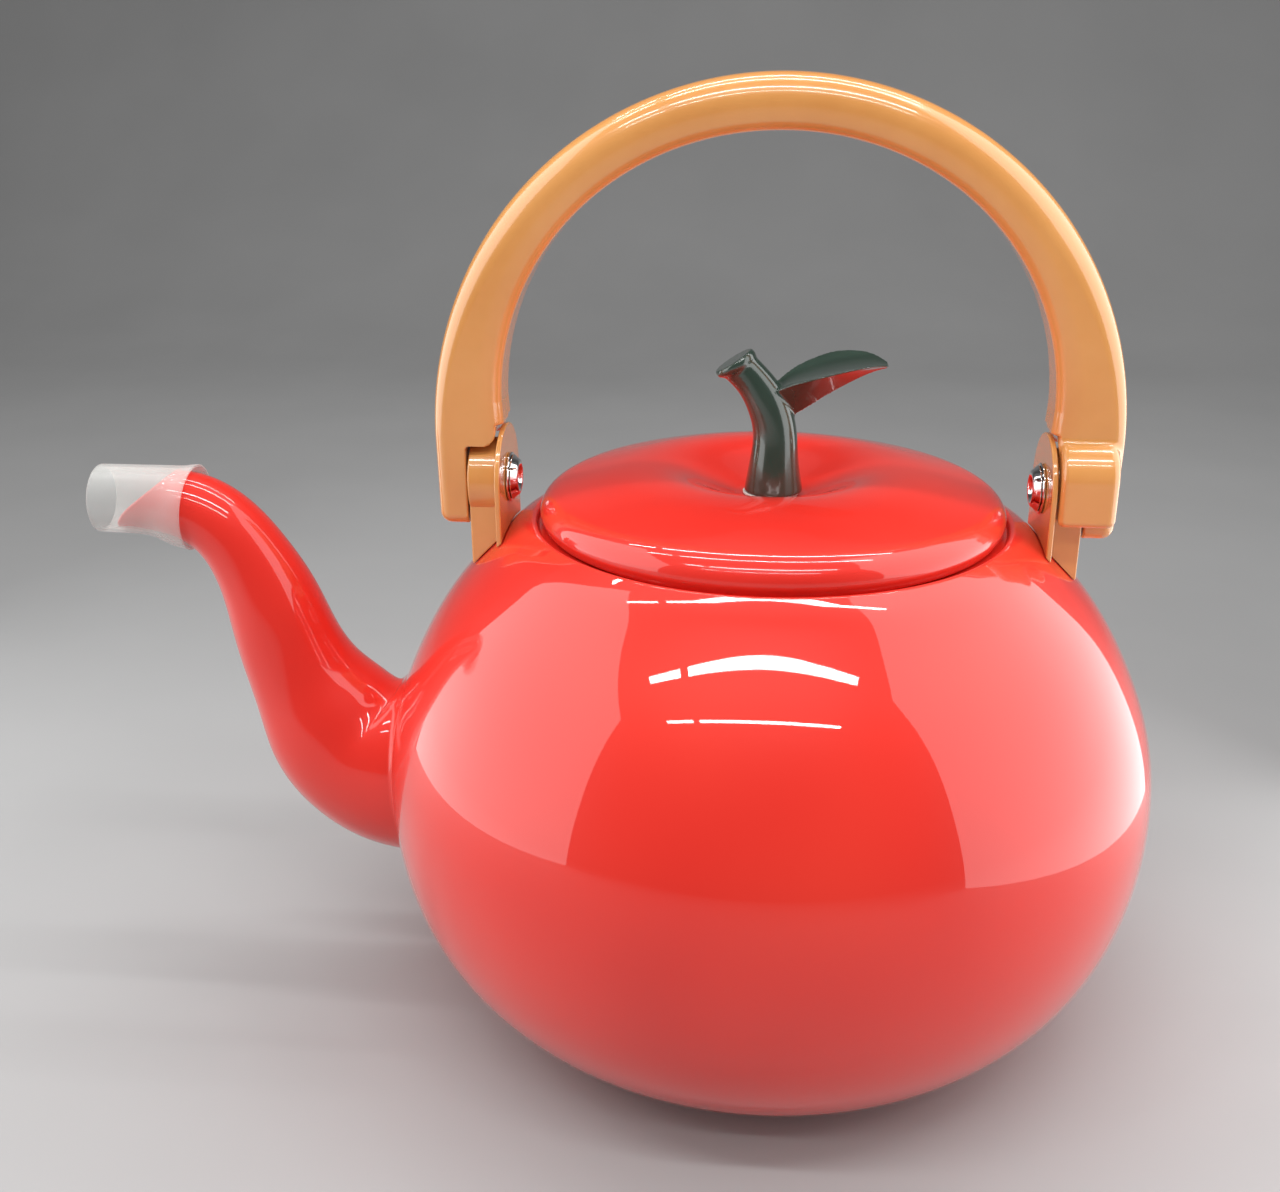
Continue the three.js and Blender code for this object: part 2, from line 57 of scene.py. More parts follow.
def corner(node, which):
    """The low (0) or high (1) corner of a CAD node, in millimetres."""
    return np.array(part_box(node)[which]) / MM


hinge = next(j for j in frame["joints"] if j["name"] == "handle_fold")
PIVOT_HEIGHT = hinge["pos_m"][2] / MM
BODY_RADIUS = corner("body_shell", 1)[0]
HANDLE_TOP = corner("handle", 1)[2]
HANDLE_HALF_DEPTH = corner("handle", 1)[1]
ARCH_OUTER_RADIUS = corner("handle", 1)[0]
ARCH_CENTRE_HEIGHT = HANDLE_TOP - ARCH_OUTER_RADIUS
LEG_BOTTOM = corner("handle", 0)[2]
FLANGE_INNER = corner("right_lug_cover", 0)[0]
BARREL_OUTER = corner("right_lug_cover", 1)[0]
FLANGE_RADIUS = corner("right_lug_cover", 1)[1]
SCREW_HEAD_TOP = corner("right_pivot_screw", 0)[0]
SCREW_TIP = corner("right_pivot_screw", 1)[0]
SHEET = 1.5


# ---------------------------------------------------------------- curves

def spline(points):
    """A natural cubic spline through points, as a function of the share of the way along them."""
    points = np.array(points, float)
    steps = np.linalg.norm(np.diff(points[:, :2], axis=0), axis=1)
    knots = np.concatenate([[0], np.cumsum(steps)]) / steps.sum()
    gaps = np.diff(knots)
    slopes = np.diff(points, axis=0) / gaps[:, None]
    count = len(points)
    matrix = np.eye(count)
    change = np.zeros_like(points)
    for i in range(1, count - 1):
        matrix[i, i - 1 : i + 2] = gaps[i - 1], 2 * (gaps[i - 1] + gaps[i]), gaps[i]
        change[i] = 6 * (slopes[i] - slopes[i - 1])
    bend = np.linalg.solve(matrix, change)

    def at(share):
        share = np.asarray(share, float)
        i = np.clip(np.searchsorted(knots, share, side="right") - 1, 0, count - 2)
        gap = gaps[i][..., None]
        after = (share - knots[i])[..., None] / gap
        before = 1 - after
        line = before * points[i] + after * points[i + 1]
        curve = (before**3 - before) * bend[i] + (after**3 - after) * bend[i + 1]
        return line + curve * gap**2 / 6

    return at


def through(points, count):
    """A number of points along the spline through some points."""
    return spline(points)(np.linspace(0, 1, count))


def arc(centre, radius, start, end, count=7):
    """Points on a circle from one angle to another, in degrees."""
    angles = np.radians(np.linspace(start, end, count))
    return np.stack([centre[0] + radius * np.cos(angles), centre[1] + radius * np.sin(angles)], 1)


def offset(points, distance):
    """A profile moved sideways, to the right of its direction."""
    along = np.gradient(points, axis=0)
    along /= np.linalg.norm(along, axis=1)[:, None]
    return points + distance * np.stack([along[:, 1], -along[:, 0]], 1)


# ---------------------------------------------------------------- meshes

SHARP_ANGLE = math.radians(38)


def mesh_object(name, points, faces, normals=None):
    """Points in millimetres and faces as an object with smooth shading."""
    mesh = bpy.data.meshes.new(name)
    mesh.from_pydata((np.asarray(points) * MM).tolist(), [], faces)
    mesh.validate()
    mesh.update()
    mesh.shade_smooth()
    if normals is None:
        mesh.set_sharp_from_angle(angle=SHARP_ANGLE)
    else:
        mesh.normals_split_custom_set_from_vertices(normals.tolist())
    made = bpy.data.objects.new(name, mesh)
    bpy.context.scene.collection.objects.link(made)
    return made


def grid_faces(rows, columns, closed_rows, closed_columns):
    """Four-sided faces over a grid of points, which may close on itself in either direction."""
    faces = []
    for r in range(rows if closed_rows else rows - 1):
        for c in range(columns if closed_columns else columns - 1):
            r2, c2 = (r + 1) % rows, (c + 1) % columns
            faces.append((r * columns + c, r * columns + c2, r2 * columns + c2, r2 * columns + c))
    return faces


def lathe(name, profile, sides, axis="Z", centre=(0, 0, 0)):
    """Turns [radius, height] points about an axis. Fans close a profile that ends on the axis."""
    profile = np.asarray(profile, float)
    on_axis = profile[0][0] < 1e-6 and profile[-1][0] < 1e-6
    rings = profile[1:-1] if on_axis else profile
    angles = np.linspace(0, 2 * math.pi, sides, endpoint=False)
    radius, height = rings[:, :1], rings[:, 1:]
    points = np.stack(
        [radius * np.cos(angles), radius * np.sin(angles), height + 0 * angles], -1
    ).reshape(-1, 3)
    faces = grid_faces(len(rings), sides, not on_axis, True)
    if on_axis:
        first, last = len(points), len(points) + 1
        points = np.vstack([points, [0, 0, profile[0][1]], [0, 0, profile[-1][1]]])
        end = (len(rings) - 1) * sides
        for i in range(sides):
            following = (i + 1) % sides
            faces.append((first, following, i))
            faces.append((last, end + i, end + following))
    if axis == "X":
        points = points[:, [2, 0, 1]]
    return mesh_object(name, points + np.array(centre), faces)


def rounded_and(a, b, radius):
    """Where two solids overlap, with the edge between them rounded. Distances are negative inside."""
    corner_distance = np.hypot(np.maximum(a + radius, 0), np.maximum(b + radius, 0))
    return np.minimum(np.maximum(a, b), -radius) + corner_distance


def rounded_or(a, b, radius):
    """Two solids joined, with a fillet between them."""
    return -rounded_and(-a, -b, radius)


def slope_of(field, points, step=0.02):
    """The slope of a distance field at points."""
    slope = np.empty_like(points)
    for i in range(3):
        shift = np.zeros(3)
        shift[i] = step
        slope[:, i] = (field(points + shift) - field(points - shift)) / (2 * step)
    return slope


def skin(name, field, low, high, cell):
    """A mesh over the surface where a distance field is zero, with one point in each cell that it crosses."""
    axes = [np.arange(a, b + cell, cell) for a, b in zip(low, high)]
    grid = np.stack(np.meshgrid(*axes, indexing="ij"), -1)
    shape = grid.shape[:3]
    parts = np.array_split(grid.reshape(-1, 3), 16)
    values = np.concatenate([field(part) for part in parts]).reshape(shape)
    inside = values < 0
    cells = tuple(n - 1 for n in shape)
    corners = [(i, j, k) for i in (0, 1) for j in (0, 1) for k in (0, 1)]

    def shifted(array, c):
        return array[c[0] : c[0] + cells[0], c[1] : c[1] + cells[1], c[2] : c[2] + cells[2]]

    filled = sum(shifted(inside, c).astype(np.int8) for c in corners)
    active = np.argwhere((filled > 0) & (filled < 8))
    number = np.full(cells, -1)
    number[tuple(active.T)] = np.arange(len(active))
    total = np.zeros((len(active), 3))
    crossings = np.zeros(len(active))
    for a in corners:
        for d in range(3):
            if a[d]:
                continue
            b = tuple(1 if i == d else a[i] for i in range(3))
            value_a = values[tuple((active + a).T)]
            value_b = values[tuple((active + b).T)]
            crossed = (value_a < 0) != (value_b < 0)
            share = np.where(crossed, value_a / np.where(crossed, value_a - value_b, 1), 0)
            place = np.array(a) + share[:, None] * (np.array(b) - np.array(a))
            total += place * crossed[:, None]
            crossings += crossed
    points = np.array(low) + (active + total / crossings[:, None]) * cell

    faces = []
    for d in range(3):
        u, v = [(1, 2), (2, 0), (0, 1)][d]
        first = [slice(None)] * 3
        second = [slice(None)] * 3
        first[d], second[d] = slice(None, -1), slice(1, None)
        crossed = np.argwhere(inside[tuple(first)] != inside[tuple(second)])
        crossed = crossed[(crossed[:, u] > 0) & (crossed[:, v] > 0)]
        crossed = crossed[(crossed[:, u] < cells[u]) & (crossed[:, v] < cells[v])]
        leaving = inside[tuple(crossed.T)]
        quad = []
        for du, dv in ((0, 0), (-1, 0), (-1, -1), (0, -1)):
            at = crossed.copy()
            at[:, u] += du
            at[:, v] += dv
            quad.append(number[tuple(at.T)])
        quad = np.stack(quad, 1)
        quad[~leaving] = quad[~leaving][:, ::-1]
        faces.append(quad)
    for _ in range(4):
        slope = slope_of(field, points)
        steep = np.maximum((slope**2).sum(1), 0.05)
        move = slope * (field(points) / steep)[:, None]
        points -= move * np.minimum(1, 0.5 * cell / np.maximum(np.linalg.norm(move, axis=1), 1e-9))[:, None]
    normals = slope_of(field, points)
    normals /= np.maximum(np.linalg.norm(normals, axis=1), 1e-9)[:, None]
    return mesh_object(name, points, np.vstack(faces).tolist(), normals)


def finish_piece(piece, node, body, look):
    """Gives a piece its material and its body, and hides the CAD node that it stands for."""
    piece.data.materials.append(look)
    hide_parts(node)
    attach(piece, body)
    return piece


# ---------------------------------------------------------------- materials

def new_material(name):
    """A new material with its node tree and its main shader."""
    made = bpy.data.materials.new(name)
    made.use_nodes = True
    tree = made.node_tree
    return made, tree, tree.nodes["Principled BSDF"]


def noise(tree, scale, detail=2.0, roughness=0.5):
    """Noise in the object's own space. The scale is in features for each metre."""
    place = tree.nodes.new("ShaderNodeTexCoord")
    made = tree.nodes.new("ShaderNodeTexNoise")
    made.inputs["Scale"].default_value = scale
    made.inputs["Detail"].default_value = detail
    made.inputs["Roughness"].default_value = roughness
    tree.links.new(place.outputs["Object"], made.inputs["Vector"])
    return made.outputs["Fac"]


def ramp(tree, factor, stops):
    """A colour ramp from [position, colour] stops."""
    made = tree.nodes.new("ShaderNodeValToRGB")
    elements = made.color_ramp.elements
    while len(elements) < len(stops):
        elements.new(0.5)
    for element, (position, colour) in zip(elements, stops):
        element.position = position
        element.color = (*colour, 1)
    tree.links.new(factor, made.inputs["Fac"])
    return made.outputs["Color"]


def between(tree, factor, low, high):
    """A number between two values, driven by a factor from 0 to 1."""
    made = tree.nodes.new("ShaderNodeMapRange")
    made.inputs["To Min"].default_value = low
    made.inputs["To Max"].default_value = high
    tree.links.new(factor, made.inputs["Value"])
    return made.outputs["Result"]


def bump(tree, shader, height, distance, strength=1.0, under=None):
    """A fine relief on a shader, which may lie over another one. The distance is in metres."""
    made = tree.nodes.new("ShaderNodeBump")
    made.inputs["Distance"].default_value = distance
    made.inputs["Strength"].default_value = strength
    tree.links.new(height, made.inputs["Height"])
    if under is not None:
        tree.links.new(under, made.inputs["Normal"])
    tree.links.new(made.outputs["Normal"], shader.inputs["Normal"])
    return made.outputs["Normal"]


def enamel_look(name, deep, main, light):
    """Glassy enamel: uneven colour under a clear coat, with a faint orange-peel surface."""
    made, tree, shader = new_material(name)
    colour = ramp(tree, noise(tree, 18, 1), [(0.3, deep), (0.52, main), (0.75, light)])
    tree.links.new(colour, shader.inputs["Base Color"])
    tree.links.new(between(tree, noise(tree, 40, 1), 0.34, 0.4), shader.inputs["Roughness"])
    bump(tree, shader, noise(tree, 30, 0), 0.00006, 0.2)
    shader.inputs["Specular IOR Level"].default_value = 0.15
    shader.inputs["IOR"].default_value = 1.5
    shader.inputs["Coat Weight"].default_value = 1.0
    shader.inputs["Coat Roughness"].default_value = 0.02
    shader.inputs["Coat IOR"].default_value = 1.5
    return made


def resin_look(name, deep, main, light):
    """Polished moulded resin, with faint flow marks."""
    made, tree, shader = new_material(name)
    colour = ramp(tree, noise(tree, 30, 4, 0.6), [(0.25, deep), (0.5, main), (0.78, light)])
    tree.links.new(colour, shader.inputs["Base Color"])
    tree.links.new(between(tree, noise(tree, 260, 4), 0.16, 0.3), shader.inputs["Roughness"])
    grain = bump(tree, shader, noise(tree, 60, 2), 0.00015, 0.4)
    bump(tree, shader, noise(tree, 2200, 2), 0.000012, 0.4, grain)
    shader.inputs["IOR"].default_value = 1.5
    shader.inputs["Coat Weight"].default_value = 1.0
    shader.inputs["Coat Roughness"].default_value = 0.03
    return made


def metal_look(name, dark, light, rough_low, rough_high):
    """Polished or brushed metal, with a fine grain."""
    made, tree, shader = new_material(name)
    scale = 300
    colour = ramp(tree, noise(tree, scale, 4, 0.6), [(0.3, dark), (0.7, light)])
    tree.links.new(colour, shader.inputs["Base Color"])
    roughness = between(tree, noise(tree, 3 * scale, 4), rough_low, rough_high)
    tree.links.new(roughness, shader.inputs["Roughness"])
    bump(tree, shader, noise(tree, 6 * scale, 2), 0.00001, 0.3)
    shader.inputs["Metallic"].default_value = 1.0
    return made


def silicone_look():
    """Dull grey rubber."""
    made, tree, shader = new_material("silicone")
    colour = ramp(tree, noise(tree, 200, 3), [(0.3, (0.56, 0.54, 0.5)), (0.7, (0.68, 0.66, 0.62))])
    tree.links.new(colour, shader.inputs["Base Color"])
    tree.links.new(between(tree, noise(tree, 900, 3), 0.5, 0.7), shader.inputs["Roughness"])
    bump(tree, shader, noise(tree, 1800, 3), 0.00002, 0.4)
    return made


def sleeve_look():
    """Milky clear plastic that lets the spout show through."""
    made, tree, shader = new_material("milky_sleeve")
    colour = ramp(tree, noise(tree, 90, 3), [(0.3, (0.74, 0.74, 0.7)), (0.7, (0.84, 0.84, 0.81))])
    tree.links.new(colour, shader.inputs["Base Color"])
    tree.links.new(between(tree, noise(tree, 240, 3), 0.12, 0.24), shader.inputs["Roughness"])
    edge = tree.nodes.new("ShaderNodeLayerWeight")
    edge.inputs["Blend"].default_value = 0.3
    cloud = between(tree, noise(tree, 70, 3), 0.12, 0.19)
    thick = tree.nodes.new("ShaderNodeMath")
    thick.operation = "MULTIPLY_ADD"
    thick.inputs[1].default_value = 0.45
    thick.use_clamp = True
    tree.links.new(edge.outputs["Facing"], thick.inputs[0])
    tree.links.new(cloud, thick.inputs[2])
    tree.links.new(thick.outputs["Value"], shader.inputs["Alpha"])
    bump(tree, shader, noise(tree, 60, 2), 0.00008, 0.3)
    shader.inputs["IOR"].default_value = 1.45
    return made


red_enamel = enamel_look("red_enamel", (0.68, 0.022, 0.013), (0.75, 0.028, 0.017), (0.79, 0.036, 0.021))
resin = resin_look("butterscotch_resin", (0.66, 0.27, 0.066), (0.72, 0.315, 0.085), (0.76, 0.35, 0.105))
green = resin_look("green_plastic", (0.016, 0.034, 0.024), (0.024, 0.048, 0.034), (0.034, 0.062, 0.045))
chrome = metal_look("chrome", (0.78, 0.78, 0.79), (0.86, 0.86, 0.87), 0.03, 0.09)
steel = metal_look("steel", (0.42, 0.42, 0.43), (0.56, 0.56, 0.57), 0.28, 0.42)
brass = metal_look("brass", (0.6, 0.43, 0.17), (0.74, 0.56, 0.26), 0.25, 0.4)
silicone = silicone_look()
milky = sleeve_look()


# ---------------------------------------------------------------- body

BODY_SIDES = 192
BASE_RADIUS = 50
SEAT_HEIGHT = 132.5
SEAT_RADIUS = 57.5
MOUTH_RADIUS = 50
COLLAR_DEPTH = 5

body_outline = through(
    [
        (BASE_RADIUS, 0), (58.2, 2.2), (65.9, 6.2), (78.7, 15.9), (90.1, 31.5), (96.1, 50.3),
        (BODY_RADIUS, 66), (96, 79.6), (89.6, 98), (79.8, 114.4), (67.7, 127.5), (63.5, 131.25),
        (59.33, 133.9),
    ],
    90,
)


def body_radius(height):
    """Radius of the body's outside at a height."""
    return np.interp(height, body_outline[:, 1], body_outline[:, 0])


def body_distance(points):
    """About how far points are outside the body."""
    radius = np.hypot(points[..., 0], points[..., 1])
    height = points[..., 2]
    step = 0.5
    slope = (body_radius(height + step) - body_radius(height - step)) / (2 * step)
    return (radius - body_radius(height)) / np.sqrt(1 + slope**2)


def make_body():
    """The body: one turned sheet with a rim, a seat and a collar, and a strainer behind the spout."""
    rim = [
        *arc((SEAT_RADIUS + 1.2, SEAT_HEIGHT + 0.5), 1.1, 50, 180, 8),
        (SEAT_RADIUS + 0.1, SEAT_HEIGHT + 0.4),
        *arc((SEAT_RADIUS - 0.4, SEAT_HEIGHT + 0.5), 0.5, 0, -90, 5),
        *arc((MOUTH_RADIUS + 1.4, SEAT_HEIGHT - 1.4), 1.4, 90, 180, 7),
        *arc((MOUTH_RADIUS + SHEET / 2, SEAT_HEIGHT - COLLAR_DEPTH), SHEET / 2, 180, 360, 8),
        *arc((MOUTH_RADIUS + SHEET + 0.8, SEAT_HEIGHT - SHEET - 0.8), 0.8, 180, 90, 5),
    ]
    inside = offset(body_outline, -SHEET)
    inside = inside[(inside[:, 1] > SHEET) & (inside[:, 1] < SEAT_HEIGHT - SHEET - 0.6)][::-1]
    profile = np.vstack([
        (0, 0), (20, 0), (40, 0), (BASE_RADIUS - 1, 0), body_outline, rim, inside,
        (BASE_RADIUS, SHEET), (40, SHEET), (20, SHEET), (0, SHEET),
    ])
    body = lathe("enamel_body", profile, BODY_SIDES)
    drill = strainer_rods("strainer_drill")
    cut = body.modifiers.new("strainer", "BOOLEAN")
    cut.object = drill
    cut.operation = "DIFFERENCE"
    cut.solver = "EXACT"
    apply_modifiers(body)
    bpy.data.objects.remove(drill)
    return finish_piece(body, "body_shell", "kettle", red_enamel)


def apply_modifiers(piece):
    """Turns a piece's modifiers into plain mesh."""
    evaluated = piece.evaluated_get(bpy.context.evaluated_depsgraph_get())
    made = bpy.data.meshes.new_from_object(evaluated)
    piece.modifiers.clear()
    piece.data = made


def strainer_rods(name):
    """Fifteen rods through the wall behind the spout: one, then rings of five and nine."""
    centre_height, rod_radius, sides = 60, 2.6, 20
    rod_ends = (-106, -82)
    points, faces = [], []
    for ring_radius, count in ((0, 1), (8, 5), (16.5, 9)):
        for i in range(count):
            turn = 2 * math.pi * i / count
            y, z = ring_radius * math.sin(turn), centre_height + ring_radius * math.cos(turn)
            start = len(points)
            for x in rod_ends:
                for s in range(sides):
                    angle = 2 * math.pi * s / sides
                    points.append((x, y + rod_radius * math.cos(angle), z + rod_radius * math.sin(angle)))
            for s in range(sides):
                following = (s + 1) % sides
                faces.append((start + s, start + following, start + sides + following, start + sides + s))
            faces.append(tuple(start + s for s in reversed(range(sides))))
            faces.append(tuple(start + sides + s for s in range(sides)))
    return mesh_object(name, points, faces)


# ---------------------------------------------------------------- spout

# Stations from inside the body to the lip: x, z, radius up and down, radius across.
SPOUT = spline([
    (-80, 59.2, 24.8, 21.5), (-92, 60, 24.6, 21.3), (-102.6, 62.3, 24.1, 20.6), (-111.2, 67, 21.5, 19.2),
    (-117.6, 75.4, 18.7, 17.4), (-122.4, 84.4, 15.4, 15), (-126.6, 95.2, 13.5, 13.3),
    (-129.9, 106.7, 12.2, 12.1), (-134.6, 118, 10.5, 10.4), (-141.2, 127.1, 9.5, 9.5),
    (-148.9, 131.8, 9, 9), (-158, 133.3, 8, 8), (-170, 133.8, 7.6, 7.6),
])
SPOUT_SIDES = 112
SPOUT_ROWS = 110
LIP_TOP = (-150, 142)
LIP_TIP = (-169, 124.8)
LIP_BULGE = 1.6
WELD_FILLET = 1.6
WELD_ROWS = 9
WELD_SINK = 0.12
INNER_WALL_GAP = 0.2


def spout_surface(share, angle, grow=0.0):
    """A point of the spout's wall. Angle 0 is the upper side, and the wall may be moved in or out."""
    x, z, tall, wide = np.moveaxis(SPOUT(share), -1, 0)
    ahead, behind = SPOUT(share + 0.002), SPOUT(share - 0.002)
    along = ahead[..., :2] - behind[..., :2]
    along /= np.linalg.norm(along, axis=-1)[..., None]
    reach = (tall + grow) * np.cos(angle)
    across = (wide + grow) * np.sin(angle)
    return np.stack([x - along[..., 1] * reach, across, z + along[..., 0] * reach], -1)


def first_share(angle, low, high, test, grow):
    """Where along the spout a test changes from true to false, for each angle, by halving."""
    low, high = np.full(angle.shape, low), np.full(angle.shape, high)
    for _ in range(40):
        middle = (low + high) / 2
        passed = test(spout_surface(middle, angle, grow))
        low, high = np.where(passed, middle, low), np.where(passed, high, middle)
    return (low + high) / 2


def beyond_lip(points):
    """How far points are past the slanted, slightly S-shaped cut of the lip."""
    along = np.array([LIP_TIP[0] - LIP_TOP[0], LIP_TIP[1] - LIP_TOP[1]], float)
    length = np.linalg.norm(along)
    along /= length
    out = np.array([along[1], -along[0]])
    x, z = points[..., 0] - LIP_TOP[0], points[..., 2] - LIP_TOP[1]
    share = np.clip((x * along[0] + z * along[1]) / length, 0, 1)
    return x * out[0] + z * out[1] - LIP_BULGE * np.sin(math.pi * share**1.6)


def make_spout():
    """The spout: a lofted sheet with a rounded lip, and a fillet where it is welded to the body."""
    angle = np.linspace(0, 2 * math.pi, SPOUT_SIDES, endpoint=False)
    outer_end = first_share(angle, 0.5, 1.0, lambda p: beyond_lip(p) < 0, 0)
    inner_end = first_share(angle, 0.5, 1.0, lambda p: beyond_lip(p) < 0, -SHEET)
    outer_start = first_share(angle, 0.0, 0.5, lambda p: body_distance(p) < WELD_FILLET, 0)
    inner_start = first_share(angle, 0.0, 0.5, lambda p: body_distance(p) < INNER_WALL_GAP, -SHEET)
    steps = np.linspace(0, 1, SPOUT_ROWS)
    outer = [spout_surface(outer_start + (outer_end - outer_start) * s, angle) for s in steps]
    inner = [spout_surface(inner_end + (inner_start - inner_end) * s, angle, -SHEET) for s in steps]
    rim = round_rim(outer[-1], inner[0], 6)
    root = weld_fillet(outer[0], outer[1])
    foot = (root[0] + inner[-1]) / 2
    rings = np.array([*root, *outer, *rim, *inner, foot])
    spout = mesh_object(
        "enamel_spout", rings.reshape(-1, 3), grid_faces(len(rings), SPOUT_SIDES, True, True)
    )
    return finish_piece(spout, "spout", "kettle", red_enamel)


def round_rim(outer, inner, steps):
    """Half-round rows from an outer ring to an inner one."""
    middle = (outer + inner) / 2
    half = (outer - inner) / 2
    along = np.roll(middle, -1, 0) - np.roll(middle, 1, 0)
    out = np.cross(half, along)
    out *= (np.linalg.norm(half, axis=1) / np.linalg.norm(out, axis=1))[:, None]
    if out[len(out) // 2, 0] > 0:
        out = -out
    turns = np.linspace(0, math.pi, steps + 2)[1:-1]
    return [middle + half * math.cos(t) + out * math.sin(t) for t in turns]


def weld_fillet(ring, following):
    """Rows that run from just under the body's surface up to the first ring of the spout."""
    away = ring - following
    away /= np.linalg.norm(away, axis=1)[:, None]
    normal = slope_of(body_distance, ring)
    normal /= np.linalg.norm(normal, axis=1)[:, None]
    depth = body_distance(ring)
    straight = ring + away * (depth / np.maximum(-(away * normal).sum(1), 0.25))[:, None]
    straight -= normal * body_distance(straight)[:, None]
    centre = ring.mean(0)
    out = straight - centre
    out -= normal * (out * normal).sum(1)[:, None]
    out /= np.linalg.norm(out, axis=1)[:, None]
    landed = straight + out * WELD_FILLET
    landed -= normal * (body_distance(landed) + WELD_SINK)[:, None]
    rows = []
    for s in np.linspace(0, 1, WELD_ROWS + 1)[:-1]:
        rows.append(landed * (1 - s) ** 2 + straight * 2 * s * (1 - s) + ring * s**2)
    return rows


# ---------------------------------------------------------------- sleeve

# Sleeve stations: x, z, outside radius.
SLEEVE = spline([
    (-148.2, 131.7, 11.2), (-151.5, 132.1, 10.6), (-155.5, 132.9, 9.7), (-160, 133.4, 9.1),
    (-166, 133.6, 8.9), (-172.9, 133.7, 8.8),
])
SLEEVE_WALL = 0.7


def make_sleeve():
    """The clear sleeve on the spout's tip, with both ends rounded."""
    sides, count = 96, 48
    angle = np.linspace(0, 2 * math.pi, sides, endpoint=False)

    def ring(share, grow):
        x, z, radius = SLEEVE(share)
        ahead, behind = SLEEVE(share + 0.004), SLEEVE(share - 0.004)
        along = (ahead - behind)[:2]
        along /= np.linalg.norm(along)
        reach = (radius + grow) * np.cos(angle)
        across = (radius + grow) * np.sin(angle)
        return np.stack([x - along[1] * reach, across, z + along[0] * reach], 1)

    first, last, bulge = 0.004, 0.996, 0.01
    steps = np.linspace(first, last, count)
    outer = [ring(s, 0) for s in steps]
    inner = [ring(s, -SLEEVE_WALL) for s in steps[::-1]]
    half, turns = SLEEVE_WALL / 2, (0.8, 1.57, 2.34)
    open_end = [ring(last + bulge * math.sin(t), -half + half * math.cos(t)) for t in turns]
    neck_end = [ring(first - bulge * math.sin(t), -half - half * math.cos(t)) for t in turns]
    rings = np.array([*outer, *open_end, *inner, *neck_end])
    sleeve = mesh_object("tip_sleeve", rings.reshape(-1, 3), grid_faces(len(rings), sides, True, True))
    return finish_piece(sleeve, "spout_sleeve", "sleeve", milky)


# ---------------------------------------------------------------- handle

ARCH_TOP_THICKNESS = 12.5
LEG_INNER = FLANGE_INNER - 0.1
HOLE_HALF_WIDTH = 65.6
HOLE_CENTRE_HEIGHT = 162
LEG_PLATE_INNER = 74.5
LEG_TAPER = 0.3 / 22.7
NOTCH_INNER = 67
NOTCH_RADIUS = 12.2
LIP_HEIGHT = 14.7
BOSS_OUTER = 80.6
BOSS_TOP = 13.9
BOSS_FRONT = 14.3
BOSS_WALL = 10.3
BOSS_BOTTOM = -5.5
BOSS_INNER = NOTCH_INNER + 0.2
BOSS_BACK = 4
HOOK_X = 66.5
HOOK_RADIUS = 1.2
HOOK_FRONT = 2
LEG_SLIMMING = 0.7
CROWN_BEND = 0.04
CROWN_WIDTH = 6
CROWN_BLEND = 50
LEG_CORNER = 3
EDGE_ROUNDING = 3
CROWN_ROUNDING = 3.6
HOLE_ROUNDING = 2.4
NOTCH_FILLET = 2.6
BOSS_ROUNDING = 9
CRISP_EDGE = 0.45


def inner_edge_distance(x, z):
    """How far points lie inside the arch's hole: an oval above, and the legs' inner faces below."""
    squareness = 2.03
    up = z - HOLE_CENTRE_HEIGHT
    tall = HANDLE_TOP - ARCH_TOP_THICKNESS - HOLE_CENTRE_HEIGHT
    across, upward = x / HOLE_HALF_WIDTH, np.maximum(up, 0) / tall
    reach = np.maximum((across**squareness + upward**squareness) ** (1 / squareness), 0.05)
    slope_x = across ** (squareness - 1) / HOLE_HALF_WIDTH
    slope_z = upward ** (squareness - 1) / tall
    steep = np.hypot(slope_x, slope_z) * reach ** (1 - squareness)
    oval = (1 - reach) / np.maximum(steep, 1e-3)
    blend = 6
    leg = HOLE_HALF_WIDTH + np.maximum(up, -blend) * (HOLE_HALF_WIDTH - LEG_INNER) / blend - x
    return np.where(up > 0, oval, leg)


